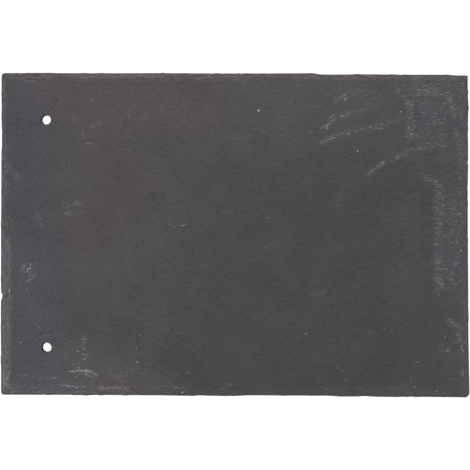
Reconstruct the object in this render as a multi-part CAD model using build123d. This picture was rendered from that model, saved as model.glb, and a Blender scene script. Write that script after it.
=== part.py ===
from build123d import *

import math
import os
import random
from dataclasses import dataclass

# A roofing slate: one slab of natural slate, riven along its cleavage and trimmed with a knife.
# Lengths are in millimetres. The slate lies flat, with its head and the two nail holes towards
# -X and its tail towards +X. Its back rests on Z = 0, and the weather face looks up.

# Slab
slate_length = 320.0  # along the middle, from head to tail
slate_width = 220.4
slate_thickness = 4.0  # mean, because the face is riven and not sawn
head_lean = 0.8  # the upper end of the head edge stands out this much beyond the lower end
tail_lean = 2.4  # the lower end of the tail edge stands out this much beyond the upper end

# Swell of the riven face, in two crossing waves
long_swell_height = 0.18
long_swell_pitch = 240.0
long_swell_turn = 19.0  # degrees away from the slate's length
long_swell_start = 34.0  # degrees of its first wave that lie before the slate's centre
cross_swell_height = 0.12
cross_swell_pitch = 126.0
cross_swell_turn = 104.0
cross_swell_start = -23.0
swell_grid_pitch = 32.0  # spacing of the points that the face is drawn through

# Dressed edge: an upright land at the back, then a splayed bevel broken off stroke by stroke
land_height = 1.1
upper_bevel_at_tail = 3.3
upper_bevel_at_head = 4.2
head_bevel_at_top = 3.6  # towards the upper side
head_bevel_at_bottom = 4.7
lower_bevel = 2.1
tail_bevel = 1.6
stroke_length = 17.0  # from one ridge between two strokes of the knife to the next
stroke_unevenness = 0.28  # how much one stroke differs from the next, as a share
scallop_depth = 0.75  # how far a stroke bites into the face between its two ridges
deep_stroke_depth = 1.4  # how much further one stroke bit, near the head on the upper side
upper_deep_stroke = 0.94  # where it is, as a share of that side
land_dip = 0.35  # how far the land is broken down in the middle of a stroke
worn_bevel_corner = 1.2  # radius of the bevel's top line at the four corners

# Radii of the four outer corners
lower_head_corner = 2.2
lower_tail_corner = 3.8
upper_tail_corner = 0.6
upper_head_corner = 2.8

# Nail holes, drilled from the face, with the small spall that a drill breaks out of the back.
# Each is placed from the middle of the head edge and from the middle of its nearer side.
hole_diameter = 6.5
upper_hole_from_head = 30.7
upper_hole_from_side = 32.15
lower_hole_from_head = 32.0
lower_hole_from_side = 32.8
spall_width = 1.4  # beyond the hole, all round
spall_depth = 0.5
spall_offset = 0.4  # the spall isn't centred on its hole
upper_spall_turn = 40.0  # degrees, the way that each spall is off its hole
lower_spall_turn = 215.0

# Where each side leaves the straight line between its corners: how far along the side, as a
# share of it, and how far outwards, in millimetres. The sides run anticlockwise from above.
lower_side_bends = [
    (0.00, 0.00), (0.16, -0.18), (0.175, 0.15), (0.20, -0.20), (0.34, -0.12), (0.41, 0.10),
    (0.425, -0.28), (0.45, 0.00), (0.50, 0.00), (0.53, -0.52), (0.71, -0.50), (0.73, -0.05),
    (0.765, -0.06), (0.785, -0.42), (0.81, 0.00), (0.85, 0.10), (0.88, -0.20), (1.00, 0.00),
]
tail_side_bends = [
    (0.00, 0.00), (0.10, -0.30), (0.17, -0.45), (0.65, -0.50), (0.68, -0.20), (0.718, -0.08),
    (0.726, -0.55), (0.734, -0.08), (0.78, 0.00), (0.825, -0.20), (0.90, 0.35), (0.96, 0.00),
    (1.00, 0.00),
]
upper_side_bends = [
    (0.00, 0.00), (0.03, 0.15), (0.06, 0.50), (0.15, 0.30), (0.20, 0.50), (0.30, 0.15),
    (0.315, 0.12), (0.336, 1.05), (0.42, 0.75), (0.52, 0.45), (0.67, 0.50), (0.79, 0.20),
    (0.88, 0.10), (0.91, 0.30), (0.97, 0.00), (1.00, 0.00),
]
head_side_bends = [
    (0.00, 0.00), (0.14, 0.00), (0.18, -0.36), (0.22, -0.33), (0.235, 0.00), (0.40, 0.10),
    (0.50, 0.20), (0.685, 0.05), (0.696, -0.80), (0.706, 0.10), (0.80, 0.30), (0.86, 0.05),
    (1.00, 0.00),
]

# Worked out from the sizes above
swell_height = long_swell_height + cross_swell_height
blank_height = slate_thickness + swell_height + 0.2 * land_height
bevel_growth = (blank_height - land_height) / (slate_thickness - land_height)

lower_head = Vector(-slate_length / 2 + head_lean / 2, -slate_width / 2)
lower_tail = Vector(slate_length / 2 + tail_lean / 2, -slate_width / 2)
upper_tail = Vector(slate_length / 2 - tail_lean / 2, slate_width / 2)
upper_head = Vector(-slate_length / 2 - head_lean / 2, slate_width / 2)


@dataclass
class Side:
    """One side of the slate, with its bends and the radius of its first corner.

    The bevel may widen or narrow evenly from the side's start to its end. deep_stroke is the share of the side at which one stroke bit deeper, or 0 for none.
    """

    start: Vector
    end: Vector
    start_bevel: float
    end_bevel: float
    bends: list
    corner: float
    deep_stroke: float = 0.0

    def along(self):
        return (self.end - self.start).normalized()

    def inward(self):
        return self.along().rotate(Axis.Z, 90)


sides = [
    Side(lower_head, lower_tail, lower_bevel, lower_bevel, lower_side_bends, lower_head_corner),
    Side(lower_tail, upper_tail, tail_bevel, tail_bevel, tail_side_bends, lower_tail_corner),
    Side(
        upper_tail,
        upper_head,
        upper_bevel_at_tail,
        upper_bevel_at_head,
        upper_side_bends,
        upper_tail_corner,
        upper_deep_stroke,
    ),
    Side(
        upper_head,
        lower_head,
        head_bevel_at_top,
        head_bevel_at_bottom,
        head_side_bends,
        upper_head_corner,
    ),
]


def strokes_of(side, length, chance):
    """Share along a side and outward bend at each ridge between two knife strokes."""
    ridges = [side.bends[0]]
    for (share, bend), (next_share, next_bend) in zip(side.bends, side.bends[1:]):
        stretch = (next_share - share) * length
        count = max(1, round(stretch / stroke_length))
        for step in range(1, count + 1):
            blend = step / count
            if step < count:
                blend += chance.uniform(-stroke_unevenness, stroke_unevenness) / count
            ridges.append((share + (next_share - share) * blend, bend + (next_bend - bend) * blend))
    return ridges


def inner_corner(before, side):
    """The corner of the bevel's top line, where the insets of two sides meet."""
    inset_before = before.inward() * before.end_bevel * bevel_growth
    return side.start + inset_before + side.inward() * side.start_bevel * bevel_growth


def corner_arc(corner, before, side, radius, height):
    """An arc that rounds a corner between two sides."""
    first = corner - before.along() * radius
    last = corner + side.along() * radius
    middle = corner + (first + last - corner * 2) * (1 - math.sqrt(0.5))
    lift = Vector(0, 0, height)
    return Edge.make_three_point_arc(first + lift, middle + lift, last + lift)


def dressed_blank():
    """The slab with its dressed edge, still flat on top and a little too thick."""
    chance = random.Random(32)
    back_edges = []
    land_edges = []
    bevel_edges = []
    for number, side in enumerate(sides):
        before = sides[number - 1]
        after = sides[(number + 1) % len(sides)]
        inner_start = inner_corner(before, side)
        inner_end = inner_corner(side, after)
        back_edges.append(corner_arc(side.start, before, side, side.corner, 0))
        land_edges.append(corner_arc(side.start, before, side, side.corner, land_height))
        bevel_edges.append(corner_arc(inner_start, before, side, worn_bevel_corner, blank_height))

        outer_first = side.start + side.along() * side.corner
        outer_last = side.end - side.along() * after.corner
        inner_first = inner_start + side.along() * worn_bevel_corner
        inner_last = inner_end - side.along() * worn_bevel_corner
        ridges = strokes_of(side, (side.end - side.start).length, chance)
        for (share, bend), (next_share, next_bend) in zip(ridges, ridges[1:]):
            foot = outer_first + (outer_last - outer_first) * share - side.inward() * bend
            next_foot = (
                outer_first + (outer_last - outer_first) * next_share - side.inward() * next_bend
            )
            crest = inner_first + (inner_last - inner_first) * share - side.inward() * bend
            next_crest = (
                inner_first + (inner_last - inner_first) * next_share - side.inward() * next_bend
            )
            depth = 1 + chance.uniform(-stroke_unevenness, stroke_unevenness)
            size = min(1, (next_foot - foot).length / stroke_length) * depth
            bite = scallop_depth * size
            if share < side.deep_stroke < next_share:
                bite += deep_stroke_depth
            scallop = (crest + next_crest) / 2 + side.inward() * bite
            dip = (foot + next_foot) / 2 + Vector(0, 0, land_height - land_dip * size)
            land = Vector(0, 0, land_height)
            top = Vector(0, 0, blank_height)
            back_edges.append(Edge.make_line(foot, next_foot))
            land_edges.append(Edge.make_three_point_arc(foot + land, dip, next_foot + land))
            bevel_edges.append(Edge.make_three_point_arc(crest + top, scallop + top, next_crest + top))
    return Solid.make_loft([Wire(back_edges), Wire(land_edges), Wire(bevel_edges)], ruled=True)


def swell(x, y, height, pitch, turn, start):
    """Height of one wave of the riven face at a point of the slate."""
    across = x * math.cos(math.radians(turn)) + y * math.sin(math.radians(turn))
    return height * math.sin(2 * math.pi * across / pitch + math.radians(start))


def face_height(x, y):
    """Height of the riven face over the back at a point of the slate."""
    long_wave = swell(
        x, y, long_swell_height, long_swell_pitch, long_swell_turn, long_swell_start
    )
    cross_wave = swell(
        x, y, cross_swell_height, cross_swell_pitch, cross_swell_turn, cross_swell_start
    )
    return slate_thickness + long_wave + cross_wave


def above_the_face():
    """All that lies above the riven face, as one solid to cut away."""
    reach_x = slate_length / 2 + swell_grid_pitch
    reach_y = slate_width / 2 + swell_grid_pitch
    columns = math.ceil(2 * reach_x / swell_grid_pitch)
    rows = math.ceil(2 * reach_y / swell_grid_pitch)
    points = []
    for column in range(columns + 1):
        x = reach_x * (2 * column / columns - 1)
        line = []
        for row in range(rows + 1):
            y = reach_y * (2 * row / rows - 1)
            line.append(Vector(x, y, face_height(x, y)))
        points.append(line)
    face = Face.make_surface_from_array_of_points(points)
    return Solid.extrude(face, Vector(0, 0, 2 * slate_thickness))


def nail_hole(x, y, turn):
    """A drilled hole and the shallow spall round its mouth in the back."""
    bore = Pos(x, y, 0) * Cylinder(
        hole_diameter / 2, 3 * slate_thickness, align=(Align.CENTER, Align.CENTER, Align.CENTER)
    )
    shift = Vector(spall_offset, 0).rotate(Axis.Z, turn)
    spall = Pos(x + shift.X, y + shift.Y, 0) * Cone(
        hole_diameter / 2 + spall_width,
        hole_diameter / 2,
        spall_depth,
        align=(Align.CENTER, Align.CENTER, Align.MIN),
    )
    return bore + spall


hole_x_upper = -slate_length / 2 + upper_hole_from_head
hole_y_upper = slate_width / 2 - upper_hole_from_side
hole_x_lower = -slate_length / 2 + lower_hole_from_head
hole_y_lower = -slate_width / 2 + lower_hole_from_side

slate = dressed_blank() - above_the_face()
slate -= nail_hole(hole_x_upper, hole_y_upper, upper_spall_turn)
slate -= nail_hole(hole_x_lower, hole_y_lower, lower_spall_turn)

os.makedirs("parts", exist_ok=True)
export_step(slate, "parts/slate.step")
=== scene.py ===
"""A roofing slate: one slab of natural slate, riven along its cleavage and trimmed with a knife.

The solid slate is the frame. This script gives it the surface of the real one, as a single mesh
in the same place, and adds a plain floor, soft light and a camera that looks straight down.
Sizes and places are in millimetres, in the frame's own axes, unless a name ends in _m.
"""

import logging
import math
from dataclasses import dataclass, field
from enum import Enum

import bpy
import numpy as np
from mathutils.geometry import delaunay_2d_cdt
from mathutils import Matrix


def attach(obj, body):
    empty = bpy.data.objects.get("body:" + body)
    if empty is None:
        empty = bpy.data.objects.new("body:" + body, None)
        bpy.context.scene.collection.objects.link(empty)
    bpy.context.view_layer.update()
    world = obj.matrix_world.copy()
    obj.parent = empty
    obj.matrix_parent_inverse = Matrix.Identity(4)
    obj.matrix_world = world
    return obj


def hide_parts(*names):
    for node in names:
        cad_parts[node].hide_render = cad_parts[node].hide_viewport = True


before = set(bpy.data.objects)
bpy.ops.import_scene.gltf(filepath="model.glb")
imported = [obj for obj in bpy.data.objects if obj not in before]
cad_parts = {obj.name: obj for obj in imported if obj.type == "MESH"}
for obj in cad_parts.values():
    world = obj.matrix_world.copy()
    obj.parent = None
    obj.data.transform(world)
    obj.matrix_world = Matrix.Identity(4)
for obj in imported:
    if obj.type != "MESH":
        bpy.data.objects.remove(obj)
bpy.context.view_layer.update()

MM = 0.001
# Random bumps repeat after so many.
NOISE_TABLE = 256
# A path of one place has no length, and takes this instead.
LEAST_RUN = 1e-9
LOG = logging.getLogger("slate")
Array = np.ndarray
Node = bpy.types.Node
Socket = bpy.types.NodeSocket
Value = float | Socket
Ends = tuple[Value, Value]
Colour = Socket | tuple[float, ...]


def srgb(code: str) -> tuple[float, float, float, float]:
    """Turn an sRGB hex colour into linear light.

    Args:
        code: the colour as six hex digits after a hash sign.

    Returns:
        Linear red, green, blue and an alpha of one.
    """
    channels = [int(code[start:start + 2], 16) / 255 for start in (1, 3, 5)]
    linear = [c / 12.92 if c <= 0.04045 else ((c + 0.055) / 1.055) ** 2.4 for c in channels]
    return (linear[0], linear[1], linear[2], 1.0)


def add_node(
    tree: bpy.types.NodeTree, kind: str, inputs: dict[str, object] | None = None, **settings: object
) -> Node:
    """Add a shader node with its settings and links.

    Args:
        tree: the node tree that gets the node.
        kind: the node's Blender type.
        inputs: a value, or another node's output, for each input by its identifier.
        settings: the node's own properties by name.

    Returns:
        The new node.
    """
    node = tree.nodes.new(kind)
    for name, value in settings.items():
        setattr(node, name, value)
    for name, value in (inputs or {}).items():
        socket = next(s for s in node.inputs if s.identifier == name)
        if isinstance(value, bpy.types.NodeSocket):
            tree.links.new(value, socket)
        else:
            socket.default_value = value
    return node


def linked(name: str, data: bpy.types.ID) -> bpy.types.Object:
    """Make an object of some data and link it to the scene."""
    made = bpy.data.objects.new(name, data)
    bpy.context.scene.collection.objects.link(made)
    return made


@dataclass(frozen=True)
class NodeWork:
    """The nodes of one material or world, and the few ways in which their values are joined.

    The spread is the part of a pattern's height that is used, so that it reaches from 0 to 1.
    """

    tree: bpy.types.NodeTree
    spread: tuple[float, float] = (0.28, 0.72)
    finer_share: float = 0.6

    @classmethod
    def afresh(cls, owner: bpy.types.Material | bpy.types.World) -> "NodeWork":
        """Clear the nodes of a material or a world, to build them anew."""
        owner.use_nodes = True
        owner.node_tree.nodes.clear()
        return cls(owner.node_tree)

    def add(self, kind: str, inputs: dict[str, object] | None = None, **settings: object) -> Node:
        """Add a node with its inputs and settings."""
        return add_node(self.tree, kind, inputs, **settings)

    def joined(self, how: str, first: Value, second: Value) -> Socket:
        """Join two values by the sum, the product or the like."""
        inputs = {"Value": first, "Value_001": second}
        return self.add("ShaderNodeMath", inputs, operation=how).outputs["Value"]

    def ranged(self, value: Value, given: Ends = (0.0, 1.0), wanted: Ends = (0.0, 1.0)) -> Socket:
        """Turn a value between two given ends into one between two wanted ends."""
        ends = {"From Min": given[0], "From Max": given[1], "To Min": wanted[0], "To Max": wanted[1]}
        return self.add("ShaderNodeMapRange", {"Value": value, **ends}).outputs["Result"]

    def kept(self, name: str, what: str = "Fac") -> Socket:
        """Read what is kept on the mesh under a name."""
        return self.add("ShaderNodeAttribute", attribute_name=name).outputs[what]

    def bumps(self, place: Socket, sizes: tuple[float, float, float], detail: float) -> Socket:
        """An even random pattern of bumps.

        Args:
            place: the place on the object.
            sizes: the bumps' sizes, in the same units as the place.
            detail: how many finer layers it has.

        Returns:
            A socket from 0 in the hollows to 1 on the crests.
        """
        scale = tuple(1 / size for size in sizes)
        scaled = self.add("ShaderNodeMapping", {"Vector": place, "Scale": scale}).outputs["Vector"]
        inputs = {"Vector": scaled, "Scale": 1.0, "Detail": detail, "Roughness": self.finer_share}
        pattern = self.add("ShaderNodeTexNoise", inputs).outputs["Fac"]
        return self.ranged(pattern, given=self.spread)

    def even_bumps(self, place: Socket, size: float, detail: float) -> Socket:
        """Bumps that are one size in millimetres every way."""
        return self.bumps(place, (size * MM,) * 3, detail)

    def powdered(self, cover: Socket, pattern: Socket, softness: float) -> Socket:
        """Let a mark catch on the crests first, and fill the hollows where it is strong.

        Args:
            cover: the mark's strength.
            pattern: the crests that it catches on.
            softness: how gently it starts.

        Returns:
            A socket from 0 where the stone is bare to 1 where the mark hides it.
        """
        start = self.joined("SUBTRACT", 1.0, cover)
        return self.ranged(pattern, given=(start, self.joined("ADD", start, softness)))

    def relief(self, under: Socket | None, pattern: Socket, height: float) -> Socket:
        """Raise the crests of a pattern.

        Args:
            under: the relief that it adds to.
            pattern: the pattern.
            height: how high its crests stand over its hollows.

        Returns:
            The relief's normal.
        """
        inputs = {"Height": pattern, "Strength": 1.0, "Distance": height * MM}
        if under:
            inputs["Normal"] = under
        return self.add("ShaderNodeBump", inputs).outputs["Normal"]

    def mixed(self, share: Value, first: Value, second: Value) -> Socket:
        """Go from one value to another by a share."""
        inputs = {"Factor_Float": share, "A_Float": first, "B_Float": second}
        return self.add("ShaderNodeMix", inputs).outputs["Result"]

    def blend(self, under: Colour, over: Colour, cover: Socket, mode: str = "MIX") -> Socket:
        """Lay one colour over another where it covers, or wash it with that colour."""
        inputs = {"Factor_Float": cover, "A_Color": under, "B_Color": over}
        mix = self.add("ShaderNodeMix", inputs, data_type="RGBA", blend_type=mode)
        return next(s for s in mix.outputs if s.identifier == "Result_Color")

    def shade(self, colour: Socket, by: Socket, factors: Ends) -> Socket:
        """Multiply a colour by the first factor where a pattern is 0, and by the second at 1."""
        inputs = {"Vector": colour, "Scale": self.ranged(by, wanted=factors)}
        return self.add("ShaderNodeVectorMath", inputs, operation="SCALE").outputs["Vector"]


def smooth_step(value: Array, start: float, end: float) -> Array:
    """Ease from 0 to 1 as a value goes from start to end.

    Args:
        value: the values to ease.
        start: where the result leaves 0.
        end: where it reaches 1.

    Returns:
        The eased values.
    """
    share = np.clip((value - start) / (end - start), 0.0, 1.0)
    return share * share * (3 - 2 * share)


@dataclass(frozen=True)
class Bumps:
    """Smooth random bumps: their height, the distance between them, and which set of draws."""

    height: float
    pitch: float
    seed: int
    squeeze: float = 1.0

    def at(self, x: Array, y: Array, layer: int = 0) -> Array:
        """Height of the bumps.

        Args:
            x, y: places along the slate and across it.
            layer: which of the sets that follow each other.

        Returns:
            The height at each place, from the full height down to as much below zero.
        """
        chance = np.random.default_rng(self.seed + layer)
        table = chance.uniform(-1.0, 1.0, (NOISE_TABLE, NOISE_TABLE))
        y = y * self.squeeze
        column = np.floor(x / self.pitch).astype(int)
        row = np.floor(y / self.pitch).astype(int)
        across = smooth_step(x / self.pitch - column, 0.0, 1.0)
        up = smooth_step(y / self.pitch - row, 0.0, 1.0)
        left, right = column % NOISE_TABLE, (column + 1) % NOISE_TABLE
        low, high = row % NOISE_TABLE, (row + 1) % NOISE_TABLE
        below = table[left, low] * (1 - across) + table[right, low] * across
        above = table[left, high] * (1 - across) + table[right, high] * across
        return self.height * (below * (1 - up) + above * up)


@dataclass(frozen=True)
class Chips:
    """Flat steps of uneven length along the edge, as chips leave it.

    The shortest and the longest are shares of the usual length. The spare factor draws more chips
    than fill the way.
    """

    depth: float
    length: float
    seed: int
    shortest: float = 0.3
    longest: float = 1.7
    spare: float = 1.5

    def at(self, way: Array, layer: int = 0) -> Array:
        """Depth of the chips.

        Args:
            way: how far round the slate each place is.
            layer: which of the sets that follow each other.

        Returns:
            The depth at each place, the same all along a chip, or as much the other way.
        """
        chance = np.random.default_rng(self.seed + layer)
        count = int(self.spare * way.max() / self.length) + 2
        ends = np.cumsum(chance.uniform(self.shortest, self.longest, count)) * self.length
        return self.depth * chance.uniform(-1.0, 1.0, len(ends) + 1)[np.searchsorted(ends, way)]


@dataclass(frozen=True)
class TrimmedSide:
    """One side of the slate as the knife left it.

    Its bends say how far along the side, as a share of it, and how far outwards it leaves the
    straight line between its corners. Its bevel changes evenly from the side's start to its end.
    """

    bends: tuple[tuple[float, float], ...]
    start_bevel: float
    end_bevel: float
    corner_radius: float

    def bend(self, share: Array) -> Array:
        """How far outwards the side stands at each share of its length."""
        return np.interp(share, *zip(*self.bends))


LOWER_SIDE = TrimmedSide(start_bevel=2.1, end_bevel=2.1, corner_radius=2.2, bends=(
    (0.00, 0.00), (0.16, -0.18), (0.175, 0.15), (0.20, -0.20), (0.34, -0.12), (0.41, 0.10),
    (0.425, -0.28), (0.45, 0.00), (0.50, 0.00), (0.53, -0.52), (0.71, -0.50), (0.73, -0.05),
    (0.765, -0.06), (0.785, -0.42), (0.81, 0.00), (0.85, 0.10), (0.88, -0.20), (1.00, 0.00),
))
TAIL = TrimmedSide(start_bevel=1.6, end_bevel=1.6, corner_radius=3.8, bends=(
    (0.00, 0.00), (0.10, -0.30), (0.17, -0.45), (0.65, -0.50), (0.68, -0.20), (0.718, -0.08),
    (0.726, -0.55), (0.734, -0.08), (0.78, 0.00), (0.825, -0.20), (0.90, 0.35), (0.96, 0.00),
    (1.00, 0.00),
))
UPPER_SIDE = TrimmedSide(start_bevel=3.1, end_bevel=4.2, corner_radius=0.6, bends=(
    (0.00, 0.00), (0.03, 0.15), (0.06, 0.50), (0.15, 0.30), (0.20, 0.50), (0.30, 0.15),
    (0.315, 0.12), (0.336, 1.05), (0.42, 0.75), (0.52, 0.45), (0.67, 0.50), (0.79, 0.20),
    (0.88, 0.10), (0.91, 0.30), (0.97, 0.00), (1.00, 0.00),
))
HEAD = TrimmedSide(start_bevel=3.6, end_bevel=4.7, corner_radius=2.8, bends=(
    (0.00, 0.00), (0.14, 0.00), (0.18, -0.36), (0.22, -0.33), (0.235, 0.00), (0.40, 0.10),
    (0.50, 0.20), (0.684, 0.12), (0.690, -0.90), (0.702, -1.00), (0.708, 0.15), (0.80, 0.30),
    (0.86, 0.05), (1.00, 0.00),
))


@dataclass(frozen=True)
class Stations:
    """Places round the slate: the foot of the edge, the top of its bevel, and the way round."""

    foot: Array
    crest: Array
    travelled: Array
    bevel: Array


@dataclass(frozen=True)
class SlateOutline:
    """The slightly uneven four-sided outline, anticlockwise from its lower corner at the head."""

    length: float = 320.0
    width: float = 220.4
    head_lean: float = 0.8
    tail_lean: float = 2.4
    worn_bevel_corner: float = 1.2
    station_pitch: float = 1.15
    turns_per_mm: int = 3
    least_turns: int = 4
    sides: tuple[TrimmedSide, ...] = (LOWER_SIDE, TAIL, UPPER_SIDE, HEAD)

    def corners(self) -> Array:
        """The four outer corners.

        Returns:
            Their places, one in each row.
        """
        head = -self.length / 2
        tail = self.length / 2
        half = self.width / 2
        return np.array(
            [
                (head + self.head_lean / 2, -half),
                (tail + self.tail_lean / 2, -half),
                (tail - self.tail_lean / 2, half),
                (head - self.head_lean / 2, half),
            ]
        )

    def directions(self) -> tuple[Array, Array]:
        """The ways along the sides and in from them.

        Returns:
            The unit way along each side, and the unit way inwards from it.
        """
        corners = self.corners()
        along = np.roll(corners, -1, axis=0) - corners
        along = along / np.linalg.norm(along, axis=1, keepdims=True)
        inward = np.column_stack([-along[:, 1], along[:, 0]])
        return along, inward

    def stations(self) -> Stations:
        """Walk round the slate and note the foot and the crest of its edge.

        Returns:
            Evenly spaced stations, with a few more at each rounded corner.
        """
        corners = self.corners()
        along, inward = self.directions()
        inner = corners.copy()
        for number, side in enumerate(self.sides):
            before = self.sides[number - 1]
            inner[number] += inward[number - 1] * before.end_bevel + inward[number] * side.start_bevel
        feet: list[Array] = []
        crests: list[Array] = []
        widths: list[Array] = []
        for number, side in enumerate(self.sides):
            before = self.sides[number - 1]
            after = (number + 1) % len(self.sides)
            turns = max(self.least_turns, round(side.corner_radius * self.turns_per_mm))
            turn = np.arange(turns) / turns
            feet.append(self.rounded(corners[number], number, side.corner_radius, turn))
            crests.append(self.rounded(inner[number], number, self.worn_bevel_corner, turn))
            widths.append(before.end_bevel + (side.start_bevel - before.end_bevel) * turn)

            first = corners[number] + along[number] * side.corner_radius
            last = corners[after] - along[number] * self.sides[after].corner_radius
            inner_first = inner[number] + along[number] * self.worn_bevel_corner
            inner_last = inner[after] - along[number] * self.worn_bevel_corner
            count = round(float(np.linalg.norm(last - first)) / self.station_pitch)
            share = (np.arange(count) / count)[:, None]
            bend = -inward[number] * side.bend(share[:, 0])[:, None]
            feet.append(first + (last - first) * share + bend)
            crests.append(inner_first + (inner_last - inner_first) * share + bend)
            widths.append(side.start_bevel + (side.end_bevel - side.start_bevel) * share[:, 0])
        foot = np.vstack(feet)
        step = np.linalg.norm(np.diff(foot, axis=0), axis=1)
        travelled = np.concatenate([[0.0], np.cumsum(step)])
        return Stations(foot, np.vstack(crests), travelled, np.concatenate(widths))

    def rounded(self, corner: Array, number: int, radius: float, turn: Array) -> Array:
        """Points on a rounded corner.

        Args:
            corner: the sharp corner.
            number: which corner it is.
            radius: how far from it the rounding starts and ends.
            turn: shares of the way round.

        Returns:
            One point for each share.
        """
        along, _ = self.directions()
        start = corner - along[number - 1] * radius
        end = corner + along[number] * radius
        turn = turn[:, None]
        return start * (1 - turn) ** 2 + corner * 2 * turn * (1 - turn) + end * turn**2


@dataclass(frozen=True)
class Cleavage:
    """The grain of the slate: the way its fine ripples run.

    They climb a little from head to tail, and steeply close to the head.
    """

    rise: float = 0.16
    head_rise: float = 0.75
    head_reach: float = 38.0
    head_x: float = -160.0
    skew: float = 0.2
    wander: Bumps = Bumps(2.6, 34.0, 41)
    fine_wander: Bumps = Bumps(1.04, 11.9, 42)
    head_streak: float = 0.22
    even_until: float = -146.0
    streaky_from: float = -50.0
    calm_place: tuple[float, float] = (140.0, -92.0)
    calm_core: float = 22.5
    calm_reach: float = 75.0
    calm_streak: float = 0.40

    def grain(self, x: Array, y: Array) -> tuple[Array, Array]:
        """Turn places on the slate into places along and across its ripples.

        Args:
            x, y: places along the slate and across it.

        Returns:
            How far along the ripples each place lies, and how far across them.
        """
        steep = self.head_rise * self.head_reach * (1 - np.exp(-(x - self.head_x) / self.head_reach))
        climb = self.rise * (x - self.head_x) + steep
        wander = self.wander.at(x, y) + self.fine_wander.at(x, y)
        return x + self.skew * y, y - climb + wander

    def streak(self, x: Array, y: Array) -> Array:
        """How drawn out the ripples are: little by the head and by one corner of the tail.

        Args:
            x, y: places along the slate and across it.

        Returns:
            From 0 for round dimples to 1 for long strands.
        """
        drawn = smooth_step(x, self.even_until, self.streaky_from)
        drawn = self.head_streak + (1 - self.head_streak) * drawn
        away = np.hypot(x - self.calm_place[0], y - self.calm_place[1])
        calm = 1 - smooth_step(away, self.calm_core, self.calm_reach)
        return drawn * (1 - (1 - self.calm_streak) * calm)


@dataclass(frozen=True)
class Flake:
    """A place where a thin sheet has come off the face, with a crisp step on one side."""

    x: float
    y: float
    length: float
    width: float
    turn: float
    depth: float
    step_width: float = 1.6
    ragged: tuple[Bumps, ...] = (Bumps(0.18, 5.0, 51), Bumps(0.10, 2.4, 52))

    def drop(self, x: Array, y: Array) -> Array:
        """How far the face is lowered at each place.

        Args:
            x, y: places along the slate and across it.

        Returns:
            The depth of the scar, deepest at its crisp step and fading out from it.
        """
        turn = math.radians(self.turn)
        along = (x - self.x) * math.cos(turn) + (y - self.y) * math.sin(turn)
        across = (y - self.y) * math.cos(turn) - (x - self.x) * math.sin(turn)
        reach = np.hypot(along / (self.length / 2), across / (self.width / 2))
        reach = reach + sum(bumps.at(x, y) for bumps in self.ragged)
        inside = smooth_step(1 - reach, 0.0, self.step_width / min(self.length, self.width))
        fade = np.clip(0.5 + across / self.width, 0.0, 1.0)
        return self.depth * inside * fade


FLAKES = (
    Flake(x=-125.5, y=88.0, length=14.0, width=9.0, turn=42.0, depth=0.14),
    Flake(x=-129.0, y=-76.0, length=24.0, width=17.0, turn=10.0, depth=0.07),
    Flake(x=138.0, y=84.0, length=46.0, width=34.0, turn=-10.0, depth=0.10),
    Flake(x=143.0, y=-14.0, length=64.0, width=24.0, turn=92.0, depth=0.09),
    Flake(x=-96.0, y=-92.0, length=34.0, width=15.0, turn=-8.0, depth=0.10),
    Flake(x=76.0, y=66.0, length=58.0, width=20.0, turn=17.0, depth=0.07),
    Flake(x=-30.0, y=8.0, length=44.0, width=16.0, turn=8.0, depth=0.05),
)


@dataclass(frozen=True)
class Swell:
    """One long, low wave across the face, turned by some degrees."""

    height: float
    pitch: float
    turn: float
    start: float


@dataclass(frozen=True)
class RivenFace:
    """The weather face: a gentle swell, ripples along the cleavage and a few flake scars."""

    thickness: float = 4.0
    swells: tuple[Swell, ...] = (Swell(0.18, 240.0, 19.0, 34.0), Swell(0.12, 126.0, 104.0, -23.0))
    ripples: tuple[Bumps, ...] = (
        Bumps(0.035, 30.0, 11, squeeze=2.0),
        Bumps(0.030, 14.0, 12, squeeze=2.2),
        Bumps(0.014, 7.5, 13, squeeze=2.6),
    )
    ripple_drop: float = 0.10
    cleavage: Cleavage = Cleavage()
    flakes: tuple[Flake, ...] = FLAKES

    def swell(self, x: Array, y: Array) -> Array:
        """Height of the smooth face under its ripples.

        Args:
            x, y: places along the slate and across it.

        Returns:
            The height over the floor at each place.
        """
        height = np.full_like(x, self.thickness)
        for swell in self.swells:
            turn = math.radians(swell.turn)
            across = x * math.cos(turn) + y * math.sin(turn)
            height += swell.height * np.sin(2 * math.pi * across / swell.pitch + math.radians(swell.start))
        return height

    def height(self, x: Array, y: Array) -> Array:
        """Height of the finished face.

        Args:
            x, y: places along the slate and across it.

        Returns:
            The height over the floor at each place.
        """
        along, across = self.cleavage.grain(x, y)
        relief = sum(ripple.at(along, across) for ripple in self.ripples)
        for flake in self.flakes:
            relief -= flake.drop(x, y)
        return self.swell(x, y) - self.ripple_drop + relief


@dataclass(frozen=True)
class RivenBack:
    """The bed face: riven like the front, and lying on its high places."""

    usual_hollow: float = 0.064
    hollows: tuple[Bumps, ...] = (Bumps(0.16, 42.0, 21, squeeze=1.7), Bumps(0.04, 11.0, 22, squeeze=2.4))

    def height(self, x: Array, y: Array) -> Array:
        """Height of the back over the floor.

        Args:
            x, y: places along the slate and across it.

        Returns:
            Zero where the slate touches, and a little more in its hollows.
        """
        hollow = self.usual_hollow + sum(bumps.at(x, y) for bumps in self.hollows)
        return np.maximum(hollow, 0.0)


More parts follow.
